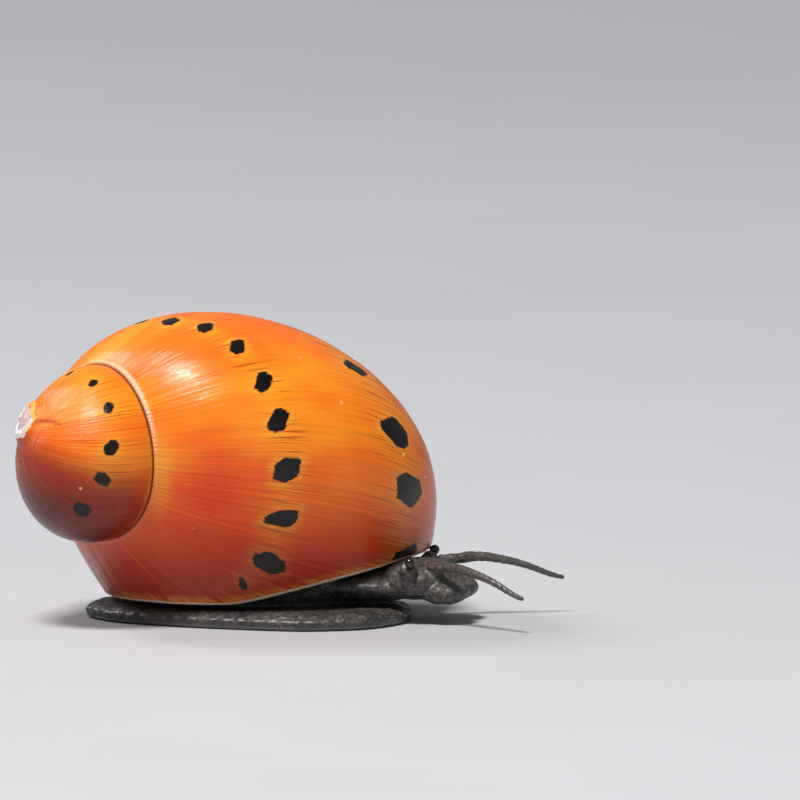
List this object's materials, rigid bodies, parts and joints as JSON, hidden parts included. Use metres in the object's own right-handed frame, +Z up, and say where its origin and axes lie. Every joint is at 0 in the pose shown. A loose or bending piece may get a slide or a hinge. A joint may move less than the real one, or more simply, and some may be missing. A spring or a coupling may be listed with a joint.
{
  "type": "nerite snail",
  "caption": "Still nerite snail: a glossy half-round shell with a low domed spire and rows of dark spots, over a flat foot, a broad snout, eyes on short stalks and slender feelers.",
  "frame": {"origin": "middle of the part's box on the floor under the sole", "axes": "+X forwards through the head, +Y to the snail's left, +Z up from the sole"},
  "size_m": [0.0292, 0.0228, 0.0178],
  "materials": {
    "shell": "polished orange shell with dark spots",
    "worn_shell": "chalky worn shell",
    "deck": "smooth cream shell",
    "flesh": "moist dark skin",
    "eye": "glossy black",
    "operculum": "dull horn"
  },
  "bodies": {
    "root": {"shell_body_whorl": "shell", "shell_outer_lip": "shell", "shell_spire": "shell", "shell_apex": "worn_shell", "shell_columellar_deck": "deck", "mantle_edge": "flesh", "foot": "flesh", "neck": "flesh", "head": "flesh", "snout": "flesh", "tentacle_left_1": "flesh", "tentacle_left_2": "flesh", "tentacle_left_3": "flesh", "tentacle_right_1": "flesh", "tentacle_right_2": "flesh", "tentacle_right_3": "flesh", "eye_stalk_left": "flesh", "eye_stalk_right": "flesh", "eye_left": "eye", "eye_right": "eye", "operculum": "operculum"}
  },
  "joints": []
}
